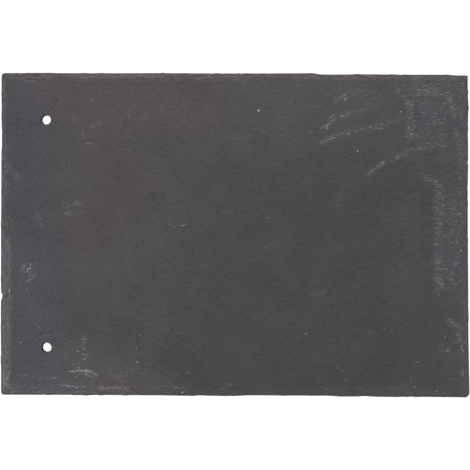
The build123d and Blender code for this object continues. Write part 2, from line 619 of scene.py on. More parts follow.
@dataclass(frozen=True)
class KnifeDressing:
    """The dressed edge: thin sheets of slate, broken back stroke by stroke up the bevel.

    Depths on the bevel are shares of its width.
    """

    # The upright land at the back is ragged, and has nubs that stand out.
    land_height: float = 1.1
    land_sheets: int = 3
    land_raggedness: float = 0.08
    land_ragged: Bumps = Bumps(0.5, 4.0, 60)
    land_fine_ragged: Bumps = Bumps(0.3, 1.7, 70)
    nub: float = 0.40
    nub_chips: Chips = Chips(1.0, 3.2, 65)
    nub_from: float = 0.6
    nub_by_sheet: tuple[float, ...] = (1.0, 0.8, 0.5)
    # Each stroke of the knife scoops the bevel back. One, on the upper side, bit deeper.
    stroke_length: float = 17.0
    stroke_wander: Bumps = Bumps(0.4, 40.8, 31)
    stroke_seed: int = 32
    weakest_stroke: float = 0.2
    scallop: float = 0.17
    usual_scoop: float = 0.35
    bite_x: float = -141.3
    bite_length: float = 19.1
    bite_depth: float = 0.42
    upper_from: float = 0.9
    # The sheets of the bevel step back in a slight hollow, with waves, chips and grit.
    bevel_sheets: int = 9
    sheet_shift: Bumps = Bumps(0.05, 9.0, 100)
    first_sheet: float = 0.55
    hollow_power: float = 0.9
    shared_wave: Bumps = Bumps(0.10, 7.0, 80)
    own_wave: Bumps = Bumps(0.06, 9.0, 81)
    chips: tuple[Chips, ...] = (Chips(0.10, 5.0, 121), Chips(0.055, 2.0, 141))
    least_tread: float = 0.008
    grit: float = 0.012
    grit_seed: int = 33
    riser_lean: float = 0.012

    def strokes(self, stations: Stations) -> Array:
        """How far each station's bevel is broken back, as a share of its usual width.

        Args:
            stations: the places round the slate.

        Returns:
            One factor for each station, near 1.
        """
        way = stations.travelled
        phase = way / self.stroke_length + self.stroke_wander.at(way, np.zeros_like(way))
        number = np.floor(phase).astype(int)
        chance = np.random.default_rng(self.stroke_seed)
        strength = chance.uniform(self.weakest_stroke, 1.0, number.max() + 1)[number]
        scoop = 1 - (2 * (phase - number) - 1) ** 2
        factor = 1 + self.scallop * (strength * scoop - self.usual_scoop)
        upper = stations.foot[:, 1] > self.upper_from * stations.foot[:, 1].max()
        near = np.clip(1 - np.abs(stations.foot[:, 0] - self.bite_x) / (self.bite_length / 2), 0, 1)
        return factor + upper * self.bite_depth * np.sqrt(near)

    def rows(self, stations: Stations, face: RivenFace, back: RivenBack) -> list[Array]:
        """Rows of points up the edge, two for each sheet, from the back to the face.

        Args:
            stations: the places round the slate.
            face: the weather face that the edge meets.
            back: the bed face that it starts from.

        Returns:
            One array of points for each row.
        """
        chance = np.random.default_rng(self.grit_seed)
        x, y = stations.foot.T
        factor = self.strokes(stations)
        sheets = self.land_sheets + self.bevel_sheets
        top = face.height(stations.crest[:, 0], stations.crest[:, 1])
        bottom = back.height(x, y)
        land = np.linspace(0, 1, self.land_sheets + 1)[:-1]
        bevel = np.linspace(0, 1, self.bevel_sheets + 1)
        heights = [bottom + (self.land_height - bottom) * share for share in land]
        heights += [self.land_height + (top - self.land_height) * share for share in bevel]
        for number in range(1, sheets):
            shift = self.sheet_shift.height * chance.uniform(-1, 1)
            heights[number] = heights[number] + shift + self.sheet_shift.at(x, y, number)

        way = stations.travelled
        nubs = self.nub * np.clip(self.nub_chips.at(way) - self.nub_from, 0, None) / (1 - self.nub_from)
        low, high = stations.foot.min(axis=0), stations.foot.max(axis=0)
        rows = []
        reach = np.zeros_like(x)
        for number in range(sheets):
            if number < self.land_sheets:
                ragged = 0.5 + self.land_ragged.at(x, y, number) + self.land_fine_ragged.at(x, y, number)
                outwards = nubs * self.nub_by_sheet[number]
                inset = self.land_raggedness * np.clip(ragged, 0, 1) - outwards
                inset = inset / stations.bevel
            else:
                place = (number - self.land_sheets + self.first_sheet) / self.bevel_sheets
                own = self.own_wave.at(x, y, number) + sum(chips.at(way, number) for chips in self.chips)
                inset = place**self.hollow_power * factor + self.shared_wave.at(x, y) * place + own
                inset = np.maximum(inset, reach + self.least_tread)
            inset = inset + chance.uniform(0, self.grit, len(x))
            reach = inset
            for height, lean in ((heights[number], 0.0), (heights[number + 1], self.riser_lean)):
                place = stations.foot + (stations.crest - stations.foot) * (inset + lean)[:, None]
                rows.append(np.column_stack([np.clip(place, low, high), height]))
        rim = rows[-1]
        rim[:, 2] = face.height(rim[:, 0], rim[:, 1])
        return rows


@dataclass(frozen=True)
class NailHole:
    """A drilled nail hole, with a chipped rim and a spall broken out of the back.

    Its wall leans in to a lip on one side, and its spall is wider and deeper on another.
    """

    x: float
    y: float
    lip_turn: float
    spall_turn: float
    diameter: float = 6.5
    segments: int = 72
    rim_wear: float = 0.05
    rim_chip: float = 0.16
    rim_chips: Bumps = Bumps(1.0, 1.3, 61)
    chips_from: float = -0.15
    rim_depth: float = 0.10
    chip_slope: float = 0.4
    wall_rows: int = 4
    # Painted shade that darkens the wall, as if little light reached into the hole.
    wall_painted_shade: float = 1.1
    wall_lip: float = 0.20
    lip_lean: float = 0.18
    wall_bumps: Bumps = Bumps(0.03, 0.55, 63)
    wall_way: float = 4.5
    spall_rows: int = 4
    spall_width: float = 1.12
    width_lean: float = 0.42
    least_width: float = 0.5
    spall_bumps: Bumps = Bumps(0.5, 1.9 / 1.4, 62)
    spall_depth: float = 0.31
    depth_lean: float = 0.275
    spall_power: float = 0.8
    spall_flare: float = 0.25

    def around(self) -> Array:
        """The angle of each point round the hole."""
        return np.arange(self.segments) / self.segments * 2 * math.pi

    def ring(self, radius: Array | float) -> tuple[Array, Array]:
        """Places on a ring round the hole's axis."""
        angle = self.around()
        return self.x + radius * np.cos(angle), self.y + radius * np.sin(angle)

    def rings(self, face: RivenFace, back: RivenBack) -> list[Array]:
        """Rings of points down the hole, from its rim in the face to its spall in the back.

        Args:
            face: the weather face.
            back: the bed face.

        Returns:
            One array of points for each ring.
        """
        bore = self.diameter / 2
        edge_x, edge_y = self.ring(bore)
        chip = np.clip(self.rim_chips.at(edge_x, edge_y) - self.chips_from, 0, 1) * self.rim_chip
        rim_x, rim_y = self.ring(bore + self.rim_wear + chip)
        rings = [np.column_stack([rim_x, rim_y, face.height(rim_x, rim_y)])]
        lip = self.wall_lip + self.lip_lean * np.cos(self.around() - math.radians(self.lip_turn))

        lean = np.cos(self.around() - math.radians(self.spall_turn))
        spread = self.spall_width + self.width_lean * lean + self.spall_bumps.at(edge_x, edge_y)
        spread = np.clip(spread, self.least_width, None)
        rise = self.spall_depth + self.depth_lean * lean
        wall_top = face.height(edge_x, edge_y) - self.rim_depth - self.chip_slope * chip
        for share in np.linspace(0, 1, self.wall_rows):
            rough = self.wall_bumps.at(edge_x, edge_y + self.wall_way * share)
            x, y = self.ring(bore + np.abs(rough) - lip * share)
            rings.append(np.column_stack([x, y, wall_top + (rise - wall_top) * share]))
        for share in np.linspace(0, 1, self.spall_rows + 1)[1:]:
            x, y = self.ring(bore - lip * (1 - share) + spread * share)
            floor = back.height(x, y)
            height = (rise - floor) * (1 - share) ** self.spall_power * (1 - self.spall_flare * share)
            rings.append(np.column_stack([x, y, floor + height]))
        rings[-1][:, 2] = back.height(rings[-1][:, 0], rings[-1][:, 1])
        return rings


class MarkKind(Enum):
    """What a mark on the slate is, and the name under which its strength is kept on the mesh."""

    RUB = "rub"
    CHALK = "chalk"
    RUST = "rust"
    DIRT_AND_SHADE = "dirt_and_shade"
    PALER = "paler"
    DARKER = "darker"
    PLUM = "plum"
    BLUE = "blue"
    OLIVE = "olive"
    BRUISED = "broken"


# The x and y of each place along a path, one place after another
Path = tuple[float, ...]


def off_path(path: Path, x: Array, y: Array) -> Array:
    """How far each place is from a path.

    Args:
        path: the path, of one place or more.
        x: places along the slate.
        y: places across it.

    Returns:
        The distance of each place from the nearest point of the path.
    """
    nearest = np.full_like(x, np.inf)
    stops = list(zip(path[::2], path[1::2]))
    for (x0, y0), (x1, y1) in zip(stops, stops[1:] or stops):
        run = max((x1 - x0) ** 2 + (y1 - y0) ** 2, LEAST_RUN)
        share = np.clip(((x - x0) * (x1 - x0) + (y - y0) * (y1 - y0)) / run, 0, 1)
        away = np.hypot(x - x0 - share * (x1 - x0), y - y0 - share * (y1 - y0))
        nearest = np.minimum(nearest, away)
    return nearest


@dataclass(frozen=True)
class Mark:
    """Marks of one kind along short paths on the face, softer or crisper at their sides."""

    kind: MarkKind
    width: float
    strength: float
    paths: tuple[Path, ...]
    softness: float = 1.0

    def cover(self, x: Array, y: Array) -> Array:
        """How strongly the marks cover each place.

        Args:
            x, y: places along the slate and across it.

        Returns:
            Full strength on a path, fading to nothing at half the mark's width.
        """
        away = np.min([off_path(path, x, y) for path in self.paths], axis=0)
        return self.strength * smooth_step(1 - away / (self.width / 2), 0.0, self.softness)


def marked(
    kind: MarkKind, width: float, strength: float, *paths: Path, softness: float = 1.0
) -> Mark:
    """Marks of one kind, size and strength along any number of paths."""
    return Mark(kind, width, strength, paths, softness)


RUB, CHALK, RUST, DIRT_AND_SHADE, PALER, DARKER, PLUM, BLUE, OLIVE, BRUISED = MarkKind
BROAD_KINDS = (PALER, DARKER, PLUM, BLUE, OLIVE)
# The order of the marks is the order in which their fine points are drawn.
MARKS = (
    # Rubs that climb towards the tail in the upper right
    marked(RUB, 8.5, 0.44, (69.1, 92.5, 75.9, 96.0, 87.5, 99.4),
        (60.3, 74.1, 65.8, 78.9, 74.6, 81.6, 87.6, 85.8),
        (57.7, 63.1, 64.5, 65.9, 74.0, 70.0, 88.3, 72.8, 101.9, 75.7, 112.1, 79.8),
        (89.2, 42.2, 100.0, 49.0, 112.3, 55.3, 120.4, 59.4, 132.0, 61.5, 142.9, 62.2)),
    marked(RUB, 6.0, 0.70, (70.5, 93.5, 75.9, 94.6), (62.4, 74.1, 65.8, 80.9), (71.9, 81.3, 76.7, 82.0),
        (59.0, 64.5, 67.2, 67.3), (74.7, 70.0, 78.1, 70.1), (89.8, 41.8, 93.2, 44.6),
        (96.6, 47.3, 101.4, 50.4), (112.3, 54.2, 115.7, 56.6)),
    marked(RUB, 5.0, 0.42, (78.6, 97.3, 86.1, 99.4), (85.5, 85.1, 88.9, 85.5), (48.8, 69.9, 52.2, 71.3),
        (36.4, 84.8, 38.4, 88.3)),
    marked(RUB, 7.0, 0.32, (69.5, 20.9, 74.9, 33.2, 79.6, 37.3), (46.0, 87.6, 56.2, 88.4)),
    marked(CHALK, 1.3, 0.62, (70.8, 94.6, 73.2, 95.5), (75.7, 69.4, 78.1, 69.4),
        (94.4, 73.2, 100.6, 73.3), (57.6, 72.7, 61.7, 74.7, 65.1, 76.8), (63.0, 80.2, 67.1, 82.3),
        (70.9, 81.6, 72.9, 81.3), (74.6, 84.7, 78.0, 84.0), (81.8, 71.1, 83.2, 71.8),
        (65.1, 78.5, 67.8, 78.2)),
    marked(CHALK, 1.1, 0.46, (59.0, 65.9, 62.4, 65.2, 66.5, 66.9, 72.0, 69.0),
        (65.2, 68.6, 71.3, 70.4, 74.0, 72.1), (94.4, 76.3, 100.6, 76.0), (64.5, 64.2, 67.2, 64.5),
        (80.7, 85.1, 84.8, 85.0), (86.9, 85.5, 88.9, 85.5), (73.2, 96.3, 79.3, 96.7, 80.7, 98.4),
        (116.4, 58.0, 121.8, 59.7, 130.7, 60.1), (95.8, 68.1, 97.2, 68.1), (100.0, 50.4, 102.1, 51.1)),
    marked(CHALK, 2.1, 0.90, (62.6, 73.2), (74.7, 92.9)),
    marked(CHALK, 1.9, 0.78, (77.1, 69.4), (92.3, 73.8)),
    marked(CHALK, 1.8, 0.48, (100.2, 49.9)),
    marked(CHALK, 1.8, 0.55, (84.4, 99.4), (50.6, 71.3), (113.8, 54.8)),
    # The scuffed corner at the upper end of the tail
    marked(RUB, 11.0, 0.52, (118.9, 92.1, 119.0, 67.6), softness=0.8),
    marked(RUB, 10.0, 0.48, (112.1, 81.8, 117.6, 79.1), (124.5, 66.2, 133.4, 61.5)),
    marked(RUB, 26.0, 0.38, (130.5, 86.7, 144.2, 85.4), softness=0.8),
    marked(RUB, 18.0, 0.32, (124.5, 69.6, 139.5, 68.4), (122.9, 101.7, 150.2, 100.5),
        (110.7, 100.9, 118.2, 92.8), softness=0.8),
    marked(RUB, 20.0, 0.24, (84.7, 103.5, 95.7, 89.9), softness=0.8),
    marked(RUB, 8.0, 0.54, (129.9, 76.5, 143.5, 77.2), (145.5, 94.3, 148.9, 91.6, 149.6, 81.4)),
    marked(RUB, 8.0, 0.42, (122.3, 98.3, 149.6, 95.7)),
    marked(RUB, 6.0, 0.56, (150.4, 72.5, 151.8, 63.0)),
    marked(RUB, 9.0, 0.38, (153.0, 98.4, 154.2, 3.0)),
    marked(RUB, 3.2, 0.42, (154.0, 86.2, 154.1, 76.6)),
    marked(RUB, 3.2, 0.30, (153.2, 57.5, 152.6, 34.3)),
    marked(CHALK, 1.2, 0.56, (122.3, 100.0, 136.6, 99.7, 144.1, 97.4, 149.6, 95.7),
        (129.1, 98.6, 139.3, 97.1, 147.5, 95.1), (123.0, 96.0, 130.5, 96.8), (137.4, 79.3, 143.5, 80.3)),
    marked(CHALK, 2.1, 0.92, (119.8, 69.6), (146.4, 94.3), (112.7, 84.8)),
    marked(CHALK, 2.7, 0.78, (155.2, 104.6)),
    marked(CHALK, 1.8, 0.65, (123.7, 92.1), (118.5, 72.5), (122.1, 74.3), (119.2, 66.3)),
    marked(CHALK, 1.8, 0.50, (150.2, 70.0), (121.0, 84.3), (120.6, 88.7)),
    # The scuffed band along the tail
    marked(RUB, 8.0, 0.52, (129.4, 41.0, 133.5, 38.3), (134.9, 39.7, 137.6, 35.6, 141.0, 32.2)),
    marked(RUB, 14.0, 0.45, (139.7, 26.8, 139.8, 9.7), softness=0.8),
    marked(RUB, 14.0, 0.51, (139.5, 4.3, 139.6, -7.3), (139.6, -15.5, 139.7, -34.6), softness=0.8),
    marked(RUB, 10.0, 0.36, (147.2, 26.1, 148.2, -35.2), softness=0.8),
    marked(RUB, 8.0, 0.60, (137.3, -31.2, 144.1, -33.9)),
    marked(RUB, 8.0, 0.44, (149.3, 28.2, 151.4, 9.8), (149.5, -14.8, 152.3, -21.6),
        (146.8, -29.1, 151.6, -33.9)),
    marked(RUB, 4.5, 0.60, (151.1, 2.3, 151.5, -7.3), (154.1, 13.9, 154.8, 9.8)),
    marked(RUB, 9.0, 0.26, (154.2, 3.0, 154.8, -103.4)),
    marked(RUB, 9.0, 0.64, (146.3, -57.8, 151.1, -61.1), (152.5, -62.5, 154.6, -72.0)),
    marked(RUB, 6.0, 0.48, (141.0, -74.8, 146.4, -77.5)),
    marked(CHALK, 1.0, 0.50, (128.7, 41.6, 134.2, 41.7), (139.8, 18.9, 145.9, 18.6),
        (134.3, 12.0, 141.2, 12.0), (134.4, 8.6, 140.5, 8.5), (139.9, -11.7, 144.7, -11.7),
        (134.5, -16.2, 140.0, -16.9), (134.5, -18.3, 140.0, -18.6), (147.1, -72.1, 151.9, -72.0),
        (138.9, -78.1, 145.1, -78.1), (135.3, -29.5, 138.7, -30.5)),
    marked(CHALK, 1.4, 0.66, (142.0, -22.0, 145.4, -22.6), (154.6, -74.8, 156.3, -78.8),
        (155.9, -90.4, 156.1, -95.2), (124.3, -86.0, 127.0, -85.6)),
    marked(CHALK, 3.4, 0.56, (144.0, -68.0), (138.2, 25.2)),
    marked(CHALK, 2.3, 0.60, (139.4, -40.4)),
    marked(CHALK, 3.4, 0.58, (153.2, 15.2)),
    marked(CHALK, 3.2, 0.56, (132.0, -26.0), (154.4, -9.8)),
    marked(CHALK, 2.0, 0.58, (135.9, 19.6), (145.4, -78.2), (147.8, -97.5), (117.6, -59.3)),
    # Marks near the head
    marked(RUB, 5.0, 0.42, (-104.0, 71.1, -104.0, 66.3), (-101.2, 61.6, -95.7, 60.9),
        (-98.5, 73.8, -93.1, 75.6), (-80.2, 80.1, -78.1, 76.7), (-71.8, 56.6),
        (-152.7, 10.8, -150.7, 6.7)),
    marked(RUB, 8.0, 0.40, (-114.6, 19.2, -105.7, 21.3), (-115.3, 13.7, -105.7, 15.2),
        (-155.0, 46.3, -147.4, 38.1), (-135.0, 12.3, -132.3, 6.8)),
    marked(RUB, 11.0, 0.46, (-143.7, -23.2, -137.5, -29.3)),
    marked(CHALK, 1.2, 0.50, (-103.3, 71.8, -105.0, 69.7, -103.6, 66.3),
        (-101.5, 61.9, -98.5, 61.6, -96.1, 62.6), (-98.5, 73.2, -97.2, 74.2), (-97.2, 75.6, -93.1, 75.9),
        (-73.1, 84.2, -72.9, 79.4), (-110.3, 80.3, -110.1, 76.9),
        (-114.6, 18.2, -110.5, 20.6, -105.8, 23.7), (-115.2, 13.1, -110.5, 12.7, -105.7, 15.8),
        (-146.1, -25.0, -143.7, -24.6), (-155.3, 47.8, -155.1, 46.3), (-149.0, 68.8, -147.3, 69.5)),
    marked(CHALK, 1.4, 0.60, (-155.4, 43.5, -155.2, 40.8), (-148.8, 40.8, -149.3, 38.8, -150.6, 37.2),
        (-142.3, -32.6, -140.2, -32.5), (-145.1, -22.8, -143.4, -21.9),
        (-136.6, -27.6, -137.6, -30.2, -140.9, -31.8), (-137.6, -20.8, -136.2, -20.3),
        (-147.1, -25.2, -145.0, -24.9)),
    marked(CHALK, 1.9, 0.76, (-141.6, -25.6, -140.8, -23.8, -139.3, -23.4),
        (-139.4, -21.5, -138.7, -20.3), (-153.7, -36.9, -153.5, -40.0)),
    marked(CHALK, 2.0, 0.84, (-154.6, 11.6), (-141.8, -37.5), (-147.7, 41.7)),
    marked(CHALK, 1.9, 0.66, (-106.2, -40.8), (-108.0, -22.9)),
    marked(CHALK, 1.9, 0.72, (-98.2, 91.4), (-118.4, 89.1)),
    marked(CHALK, 1.8, 0.48, (-148.8, -15.9), (-147.5, -18.8), (-147.0, -33.8)),
    # Marks in the lower left
    marked(RUB, 9.0, 0.50, (-157.0, -75.8, -156.9, -105.1)),
    marked(RUB, 8.0, 0.24, (-157.4, -4.2, -157.0, -75.8)),
    marked(RUB, 5.0, 0.42, (-153.6, -4.2, -153.1, -90.1)),
    marked(RUB, 14.0, 0.40, (-151.4, -104.4, -92.8, -104.1)),
    marked(RUB, 10.0, 0.32, (-146.0, -96.9, -122.1, -98.8)),
    marked(RUB, 4.5, 0.80, (-152.8, -108.3, -93.4, -108.1)),
    marked(RUB, 4.0, 0.50, (-93.4, -108.1, -57.3, -108.0)),
    marked(RUB, 9.0, 0.46, (-102.5, -70.7, -102.5, -74.2), (-103.8, -76.9, -101.7, -84.4),
        (-109.9, -87.8, -107.2, -90.5), (-109.9, -92.6, -94.2, -95.9)),
    marked(RUB, 9.0, 0.32, (-84.6, -93.8, -75.1, -99.2)),
    marked(RUB, 5.0, 0.50, (-116.0, -103.5, -98.2, -104.1)),
    marked(CHALK, 2.4, 0.86, (-157.6, -94.2, -157.4, -103.8)),
    marked(CHALK, 1.7, 0.66, (-155.4, -97.0, -155.0, -103.8)),
    marked(CHALK, 1.4, 0.68, (-104.8, -85.2, -101.7, -85.6), (-152.7, -93.5, -153.9, -96.9),
        (-116.0, -102.9, -113.9, -103.5, -110.5, -103.2, -107.1, -104.6),
        (-104.7, -103.8, -101.0, -104.1)),
    marked(CHALK, 1.0, 0.54, (-151.2, -90.4, -152.7, -93.5),
        (-154.1, -103.1, -151.4, -102.4, -148.7, -103.7), (-154.1, -105.1, -149.4, -105.1),
        (-135.9, -73.0, -133.2, -70.2, -129.1, -69.2, -120.9, -68.5), (-114.6, -107.3, -106.4, -107.4),
        (-103.9, -71.8, -100.5, -71.8), (-104.5, -81.4, -100.4, -82.1), (-110.9, -86.8, -108.2, -90.2),
        (-117.8, -83.8, -114.7, -80.7), (-78.8, -96.2, -76.8, -100.6), (-70.3, -92.0, -66.9, -91.0),
        (-77.1, -93.8, -76.4, -96.8), (-73.3, -93.1, -73.4, -96.8)),
    marked(CHALK, 0.9, 0.42, (-89.4, -91.8, -85.3, -93.1, -81.9, -94.8, -79.2, -96.2),
        (-102.1, -76.2, -100.4, -78.9), (-81.2, -97.9, -80.2, -101.3), (-83.2, -99.6, -81.9, -97.2),
        (-71.0, -103.3, -65.5, -102.6, -60.0, -103.6)),
    marked(CHALK, 2.8, 0.56, (-103.1, -77.2, -102.5, -78.6),
        (-109.9, -93.3, -105.1, -92.8, -97.6, -93.5, -94.2, -95.9), softness=1.2),
    marked(CHALK, 1.7, 0.64, (-112.6, -93.7, -107.8, -92.9, -103.7, -92.8),
        (-102.0, -94.3, -100.0, -96.1, -97.2, -97.0), (-97.6, -94.0, -95.5, -94.8, -93.3, -96.3)),
    marked(CHALK, 3.4, 0.66, (-105.1, -93.0, -101.0, -93.2, -97.6, -93.4)),
    marked(CHALK, 2.9, 0.72, (-106.7, -79.8)),
    marked(CHALK, 2.3, 0.78, (-122.8, -98.1), (-145.7, -74.1), (-106.0, -91.1), (-113.1, -103.5)),
    marked(CHALK, 2.1, 0.68, (-132.8, -63.8), (-107.3, -97.0), (-105.3, -88.1)),
    marked(CHALK, 2.0, 0.84, (-123.8, -77.2)),
    marked(CHALK, 1.7, 0.52, (-139.8, -69.8), (-131.7, -70.8), (-129.0, -69.7), (-104.6, -70.6),
        (-88.4, -85.2), (-82.4, -86.3)),
    marked(CHALK, 3.0, 0.44, (-142.1, -99.8)),
    marked(RUST, 9.0, 0.70, (-92.1, -104.8, -73.0, -104.9)),
    marked(CHALK, 1.4, 0.56, (-75.7, -105.4, -73.0, -103.3), (-86.6, -104.7, -83.9, -106.8)),
    marked(CHALK, 1.9, 0.60, (-90.2, -104.4), (-87.9, -105.9), (-80.4, -103.5), (-78.3, -104.5)),
    # Marks in the middle
    marked(RUB, 5.0, 0.36, (-7.1, 65.5, 5.2, 66.2), (-13.1, 33.4, -7.6, 30.0), (-7.5, 16.4, -2.7, 15.1),
        (18.5, -11.4, 24.0, -6.6, 29.4, -4.5), (-49.4, -49.3, -45.3, -58.1), (-45.3, -65.6),
        (52.8, -40.5, 62.3, -37.8), (26.4, -82.3), (66.0, -84.8, 74.2, -92.3)),
    marked(RUB, 6.0, 0.56, (48.9, -66.5)),
    marked(RUB, 8.0, 0.38, (89.8, -64.9, 95.2, -67.6)),
    marked(CHALK, 1.2, 0.52, (1.7, 66.6, 4.1, 66.9), (19.8, 11.1, 22.5, 12.5, 24.6, 10.8),
        (21.2, 9.7, 23.9, 9.4), (-45.3, 6.8, -41.6, 6.5), (61.8, -66.4, 64.5, -66.4),
        (106.6, -25.2, 107.9, -23.5, 110.0, -23.9), (-45.9, -76.9, -43.5, -76.5)),
    marked(CHALK, 1.4, 0.66, (-36.8, 6.3, -33.4, 6.9)),
    # Marks along the lower side
    marked(RUB, 6.0, 0.40, (-50.5, -102.5, -33.4, -105.8), (-8.9, -104.3, -1.4, -101.5)),
    marked(RUB, 7.0, 0.30, (62.0, -103.9, 113.2, -105.0)),
    marked(CHALK, 1.3, 0.66, (-32.8, -94.2, -31.1, -94.2)),
    marked(CHALK, 1.2, 0.54, (-45.1, -100.4, -41.6, -102.1, -38.2, -104.5)),
    marked(RUST, 5.0, 0.30, (4.7, -104.2, 25.2, -104.1)),
    # Rubs on the crest of the upper bevel
    marked(RUB, 2.6, 0.28, (-119.9, 104.7, 43.8, 106.0)),
    # Single pale specks
    marked(CHALK, 1.8, 3.60, (15.7, 85.1)),
    marked(CHALK, 1.9, 1.30, (83.3, 57.8)),
    marked(CHALK, 2.6, 1.20, (-35.3, -107.5)),
    marked(CHALK, 2.1, 0.90, (138.3, -105.7), (-66.1, -87.0), (123.0, -102.7)),
    marked(CHALK, 2.1, 0.92, (102.4, -62.9)),
    marked(CHALK, 2.0, 0.76, (120.6, -97.2), (-64.1, -68.8), (-66.5, -78.0), (75.8, -98.6),
        (49.1, -66.9)),
    marked(CHALK, 1.8, 0.56, (106.2, -37.5), (69.5, -104.5), (-6.6, -103.8), (-3.2, -101.8),
        (138.3, -101.6)),
    # Small dark spots and a dark patch by the lower hole, and painted shadow along cleavage that has
    # opened a little
    marked(DIRT_AND_SHADE, 2.6, 1.10, (102.1, -45.2), (133.9, 56.1), (103.8, -105.9)),
    marked(DIRT_AND_SHADE, 1.7, 0.60, (20.2, -27.3), (-34.7, -86.9), (-125.2, 92.5), (-131.4, 90.7),
        (-142.2, -21.0), (-140.2, -21.1), (-138.7, -25.1), (-131.2, -82.4), (-130.9, -84.7),
        (-125.0, -87.8)),
    marked(DIRT_AND_SHADE, 3.2, 0.66, (-127.6, 84.4, -124.9, 85.6, -123.2, 89.1, -121.8, 92.0)),
    marked(DIRT_AND_SHADE, 2.3, 0.90, (-158.9, 69.2, -156.8, 69.6)),
    marked(DIRT_AND_SHADE, 1.8, 0.65, (-156.8, 69.6, -153.8, 70.6), (157.9, -18.8, 157.9, -20.2)),
    # Painted shadow in the cleavage opened at the inner edge of the bite in the upper bevel
    marked(DIRT_AND_SHADE, 1.9, 0.90, (-148.5, 107.5, -144.4, 105.8, -140.3, 105.5, -129.4, 105.2)),
    marked(DARKER, 6.0, 0.95, (-132.9, -68.2, -136.6, -74.3)),
    # The worn crest of the bevel at the head
    marked(BRUISED, 4.6, 0.75, (-155.0, -2.0, -154.6, -104.0)),
    # Broad changes of shade and tint, and paler bands along some edges
    marked(PALER, 180.0, 0.84, (-110.0, 106.0, 152.0, 106.0)),
    marked(PALER, 250.0, 0.56, (-100.0, 70.0, -95.0, 0.0)),
    marked(PALER, 110.0, 1.15, (-152.0, -30.0, -150.0, -100.0)),
    marked(PALER, 16.0, 0.55, (-153.0, 98.0, -152.0, -40.0)),
    marked(PALER, 90.0, 0.70, (160.0, 104.0, 160.0, -20.0)),
    marked(PALER, 80.0, 0.50, (160.0, -20.0, 160.0, -104.0)),
    # Painted light: this band lifts the tail's bevel, which faces away from the lamp
    marked(PALER, 16.0, 1.00, (158.0, 100.0, 158.0, -104.0)),
    marked(PALER, 60.0, 0.34, (118.0, 12.0, 118.0, -34.0)),
    marked(PALER, 16.0, 0.80, (96.0, 102.0, 156.0, 102.0)),
    marked(PALER, 110.0, 2.05, (-152.0, -112.0, -85.0, -112.0)),
    marked(PALER, 26.0, 1.60, (-157.0, -40.0, -157.0, -106.0)),
    # Painted light: these bands lift the bevel of the lower side, which faces away from the lamp
    marked(PALER, 16.0, 0.80, (-150.0, -108.0, -85.0, -108.0)),
    marked(PALER, 13.0, 0.40, (-90.0, -109.0, 110.0, -109.0)),
    marked(PALER, 18.0, 0.60, (112.0, -106.0, 156.0, -106.0)),
    marked(DARKER, 22.0, 0.33, (-80.0, -86.0, -24.0, -88.0), (9.0, -28.0, 26.0, -30.0)),
    marked(DARKER, 60.0, 0.20, (100.0, -90.0), (99.0, 96.0, 105.0, 80.0)),
    marked(DARKER, 7.0, 0.45, (-148.0, 108.6, -120.0, 108.2)),
    marked(PLUM, 90.0, 0.74, (-110.0, 100.0, -30.0, 92.0)),
    marked(PLUM, 58.0, 0.72, (-92.0, 62.0, -72.0, 32.0, -100.0, 2.0)),
    marked(PALER, 70.0, 1.10, (-85.0, 92.0, -28.0, 88.0)),
    marked(PLUM, 14.0, 0.75, (-160.0, 112.0, 162.0, 112.0), (-92.0, -104.0, -73.0, -104.0)),
    marked(BLUE, 70.0, 0.75, (-150.0, 82.0, -144.0, -104.0)),
    marked(BLUE, 30.0, 0.35, (126.0, 84.0, 144.0, 80.0)),
    marked(BLUE, 16.0, 0.45, (138.0, -8.0, 153.0, -20.0)),
    marked(OLIVE, 8.0, 0.55, (158.5, 98.0, 158.5, -98.0)),
    marked(BLUE, 14.0, 0.60, (-150.0, -108.0, -106.0, -108.0)),
    marked(OLIVE, 8.0, 0.40, (155.0, 18.0, 156.0, -12.0)),
    marked(OLIVE, 9.0, 0.30, (4.0, -105.0, 25.0, -106.0)),
)


